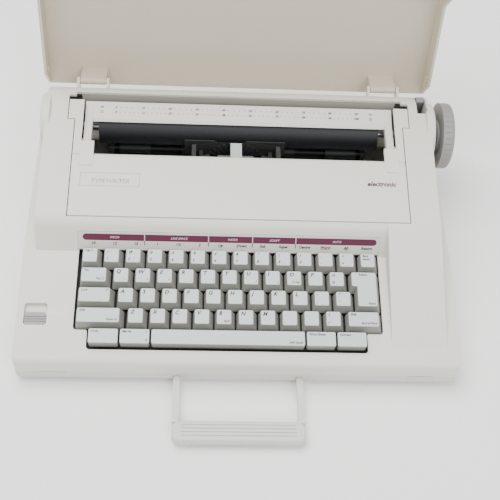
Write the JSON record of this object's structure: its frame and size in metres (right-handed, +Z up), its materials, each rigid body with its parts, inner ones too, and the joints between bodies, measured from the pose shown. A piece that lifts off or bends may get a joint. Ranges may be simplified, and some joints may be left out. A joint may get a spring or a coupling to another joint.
{
  "type": "portable electronic typewriter",
  "caption": "Cream portable daisy-wheel typewriter with its hinged lid open, a full keyboard, a platen with one knob and a pull-out handle.",
  "frame": {"origin": "on the desk, under the middle of the case, in the plane of the five rubber feet", "axes": "+X to the user's right along the keyboard, +Y to the rear, +Z up"},
  "size_m": [0.3968, 0.4241, 0.3707],
  "materials": {
    "base_plastic": "fine-grained cream ABS",
    "board": "glass-fibre board",
    "case_plastic": "fine-grained cream ABS",
    "clear_plastic": "clear",
    "dark_plastic": "moulded",
    "foot_rubber": "soft",
    "frame_steel": "zinc-plated sheet",
    "grey_plastic": "moulded",
    "iron": "laminated core",
    "key_plastic": "two-shot moulded",
    "lens": "translucent",
    "lid_plastic": "beige ABS",
    "membrane": "silicone",
    "motor_steel": "plated can",
    "pan_plastic": "moulded",
    "ribbon_film": "film",
    "rod_steel": "ground",
    "roller_rubber": "hard ground rubber",
    "screw_steel": "zinc-plated",
    "strip": "printed strip",
    "white_plastic": "acetal"
  },
  "bodies": {
    "case": {"base_tray": "base_plastic", "case_screws": "screw_steel", "rubber_feet": "foot_rubber", "top_case": "case_plastic", "power_inlet": "dark_plastic", "power_indicator": "lens", "function_strip": "strip", "lid_hinge_pins": "rod_steel", "line_feed_motor": "motor_steel", "paper_pan": "pan_plastic", "left_frame": "frame_steel", "right_frame": "frame_steel", "rear_rail": "rod_steel", "front_rail": "rod_steel", "carriage_motor": "motor_steel", "carriage_belt": "membrane", "circuit_board": "board", "transformer": "iron", "key_guide_plate": "dark_plastic", "membrane_sheet": "membrane", "contact_board": "board"},
    "lid": {"lid": "lid_plastic"},
    "ribbon_cover": {"ribbon_cover": "case_plastic"},
    "paper_bail": {"paper_bail": "case_plastic"},
    "platen": {"platen_shaft": "rod_steel", "platen_roller": "roller_rubber", "platen_knob": "grey_plastic", "platen_gear": "white_plastic"},
    "line_feed_pinion": {"line_feed_pinion": "white_plastic"},
    "feed_cradle": {"feed_cradle": "dark_plastic"},
    "feed_rollers": {"feed_rollers": "roller_rubber"},
    "release_lever": {"paper_release_lever": "grey_plastic"},
    "carriage": {"carriage_frame": "dark_plastic", "daisy_motor": "motor_steel", "hammer_coil": "clear_plastic", "card_guide": "dark_plastic", "ribbon_cassette": "dark_plastic", "ribbon": "ribbon_film"},
    "daisy_wheel": {"daisy_wheel": "dark_plastic"},
    "print_hammer": {"print_hammer": "rod_steel"},
    "drive_pulley": {"drive_pulley": "white_plastic"},
    "idler_pulley": {"idler_pulley": "white_plastic"},
    "power_slider": {"power_slider": "grey_plastic"},
    "handle": {"handle": "base_plastic"},
    "tab_set_key": {"tab_set_key": "key_plastic"},
    "back_space_key": {"back_space_key": "key_plastic"},
    "tab_key": {"tab_key": "key_plastic"},
    "return_key": {"return_key": "key_plastic"},
    "lock_key": {"lock_key": "key_plastic"},
    "left_shift_key": {"left_shift_key": "key_plastic"},
    "right_shift_key": {"right_shift_key": "key_plastic"},
    "code_key": {"code_key": "key_plastic"},
    "margin_key": {"margin_key": "key_plastic"},
    "space_bar": {"space_bar": "key_plastic"},
    "erase_key": {"erase_key": "key_plastic"},
    "correct_key": {"correct_key": "key_plastic"},
    "digit_keys": {"digit_keys": "key_plastic"},
    "top_letter_keys": {"top_letter_keys": "key_plastic"},
    "home_letter_keys": {"home_letter_keys": "key_plastic"},
    "bottom_letter_keys": {"bottom_letter_keys": "key_plastic"}
  },
  "joints": [
    {"name": "lid_hinge", "type": "hinge", "parent": "case", "child": "lid", "pos_m": [0, 0.136, 0.091], "axis": [-1, 0, 0], "range_deg": [-108.3, 0]},
    {"name": "ribbon_cover_hinge", "type": "hinge", "parent": "case", "child": "ribbon_cover", "pos_m": [0, 0.0905, 0.094], "axis": [-1, 0, 0], "range_deg": [0, 60]},
    {"name": "paper_bail_hinge", "type": "hinge", "parent": "case", "child": "paper_bail", "pos_m": [0, 0.0595, 0.087], "axis": [1, 0, 0], "range_deg": [0, 26]},
    {"name": "platen_turn", "type": "hinge", "parent": "case", "child": "platen", "pos_m": [0, 0.0905, 0.075], "axis": [1, 0, 0], "continuous": true},
    {"name": "line_feed_pinion_turn", "type": "hinge", "parent": "case", "child": "line_feed_pinion", "pos_m": [-0.174, 0.11597, 0.06573], "axis": [1, 0, 0], "continuous": true},
    {"name": "release_lever_pivot", "type": "hinge", "parent": "case", "child": "release_lever", "pos_m": [0.172, 0.1175, 0.061], "axis": [1, 0, 0], "range_deg": [0, 20]},
    {"name": "feed_cradle_pivot", "type": "hinge", "parent": "case", "child": "feed_cradle", "pos_m": [0, 0.1, 0.05], "axis": [1, 0, 0], "range_deg": [0, 4.6], "stiffness_Nm_per_rad": 0.5, "springref_deg": -2.86},
    {"name": "feed_roller_turn", "type": "hinge", "parent": "feed_cradle", "child": "feed_rollers", "pos_m": [0, 0.0815, 0.0557], "axis": [1, 0, 0], "continuous": true},
    {"name": "carriage_slide", "type": "slide", "parent": "case", "child": "carriage", "axis": [1, 0, 0], "range_m": [-0.112, 0.112]},
    {"name": "daisy_wheel_turn", "type": "hinge", "parent": "carriage", "child": "daisy_wheel", "pos_m": [-0.003, 0.071, 0.047], "axis": [0, 1, 0], "continuous": true},
    {"name": "hammer_strike", "type": "slide", "parent": "carriage", "child": "print_hammer", "axis": [0, 1, 0], "range_m": [0, 0.0012], "stiffness_N_per_m": 60, "springref_m": -0.001},
    {"name": "drive_pulley_turn", "type": "hinge", "parent": "case", "child": "drive_pulley", "pos_m": [0.156, 0, 0.031], "axis": [0, 0, 1], "range_deg": [-920, 920]},
    {"name": "idler_pulley_turn", "type": "hinge", "parent": "case", "child": "idler_pulley", "pos_m": [-0.156, 0, 0.031], "axis": [0, 0, 1], "range_deg": [-920, 920]},
    {"name": "power_switch_slide", "type": "slide", "parent": "case", "child": "power_slider", "axis": [0, 0.9816, 0.1908], "range_m": [0, 0.0075]},
    {"name": "handle_slide", "type": "slide", "parent": "case", "child": "handle", "axis": [0, 1, 0], "range_m": [0, 0.042]},
    {"name": "tab_set_key_press", "type": "slide", "parent": "case", "child": "tab_set_key", "axis": [0, 0.1908, -0.9816], "range_m": [0, 0.0035], "stiffness_N_per_m": 150, "springref_m": -0.003},
    {"name": "back_space_key_press", "type": "slide", "parent": "case", "child": "back_space_key", "axis": [0, 0.1908, -0.9816], "range_m": [0, 0.0035], "stiffness_N_per_m": 150, "springref_m": -0.003},
    {"name": "tab_key_press", "type": "slide", "parent": "case", "child": "tab_key", "axis": [0, 0.1908, -0.9816], "range_m": [0, 0.0035], "stiffness_N_per_m": 150, "springref_m": -0.003},
    {"name": "return_key_press", "type": "slide", "parent": "case", "child": "return_key", "axis": [0, 0.1908, -0.9816], "range_m": [0, 0.0035], "stiffness_N_per_m": 150, "springref_m": -0.003},
    {"name": "lock_key_press", "type": "slide", "parent": "case", "child": "lock_key", "axis": [0, 0.1908, -0.9816], "range_m": [0, 0.0035], "stiffness_N_per_m": 150, "springref_m": -0.003},
    {"name": "left_shift_key_press", "type": "slide", "parent": "case", "child": "left_shift_key", "axis": [0, 0.1908, -0.9816], "range_m": [0, 0.0035], "stiffness_N_per_m": 150, "springref_m": -0.003},
    {"name": "right_shift_key_press", "type": "slide", "parent": "case", "child": "right_shift_key", "axis": [0, 0.1908, -0.9816], "range_m": [0, 0.0035], "stiffness_N_per_m": 150, "springref_m": -0.003},
    {"name": "code_key_press", "type": "slide", "parent": "case", "child": "code_key", "axis": [0, 0.1908, -0.9816], "range_m": [0, 0.0035], "stiffness_N_per_m": 150, "springref_m": -0.003},
    {"name": "margin_key_press", "type": "slide", "parent": "case", "child": "margin_key", "axis": [0, 0.1908, -0.9816], "range_m": [0, 0.0035], "stiffness_N_per_m": 150, "springref_m": -0.003},
    {"name": "space_bar_press", "type": "slide", "parent": "case", "child": "space_bar", "axis": [0, 0.1908, -0.9816], "range_m": [0, 0.0035], "stiffness_N_per_m": 150, "springref_m": -0.003},
    {"name": "erase_key_press", "type": "slide", "parent": "case", "child": "erase_key", "axis": [0, 0.1908, -0.9816], "range_m": [0, 0.0035], "stiffness_N_per_m": 150, "springref_m": -0.003},
    {"name": "correct_key_press", "type": "slide", "parent": "case", "child": "correct_key", "axis": [0, 0.1908, -0.9816], "range_m": [0, 0.0035], "stiffness_N_per_m": 150, "springref_m": -0.003},
    {"name": "digit_keys_press", "type": "slide", "parent": "case", "child": "digit_keys", "axis": [0, 0.1908, -0.9816], "range_m": [0, 0.0035], "stiffness_N_per_m": 600, "springref_m": -0.003},
    {"name": "top_letter_keys_press", "type": "slide", "parent": "case", "child": "top_letter_keys", "axis": [0, 0.1908, -0.9816], "range_m": [0, 0.0035], "stiffness_N_per_m": 600, "springref_m": -0.003},
    {"name": "home_letter_keys_press", "type": "slide", "parent": "case", "child": "home_letter_keys", "axis": [0, 0.1908, -0.9816], "range_m": [0, 0.0035], "stiffness_N_per_m": 600, "springref_m": -0.003},
    {"name": "bottom_letter_keys_press", "type": "slide", "parent": "case", "child": "bottom_letter_keys", "axis": [0, 0.1908, -0.9816], "range_m": [0, 0.0035], "stiffness_N_per_m": 600, "springref_m": -0.003}
  ],
  "couplings": [
    {"joint": "line_feed_pinion_turn", "follows": "platen_turn", "ratio": -2.8571},
    {"joint": "feed_roller_turn", "follows": "platen_turn", "ratio": -3.2},
    {"joint": "feed_cradle_pivot", "follows": "release_lever_pivot", "ratio": 0.225},
    {"joint": "drive_pulley_turn", "follows": "carriage_slide", "rad_per_m": -142.86},
    {"joint": "idler_pulley_turn", "follows": "carriage_slide", "rad_per_m": -142.86}
  ]
}
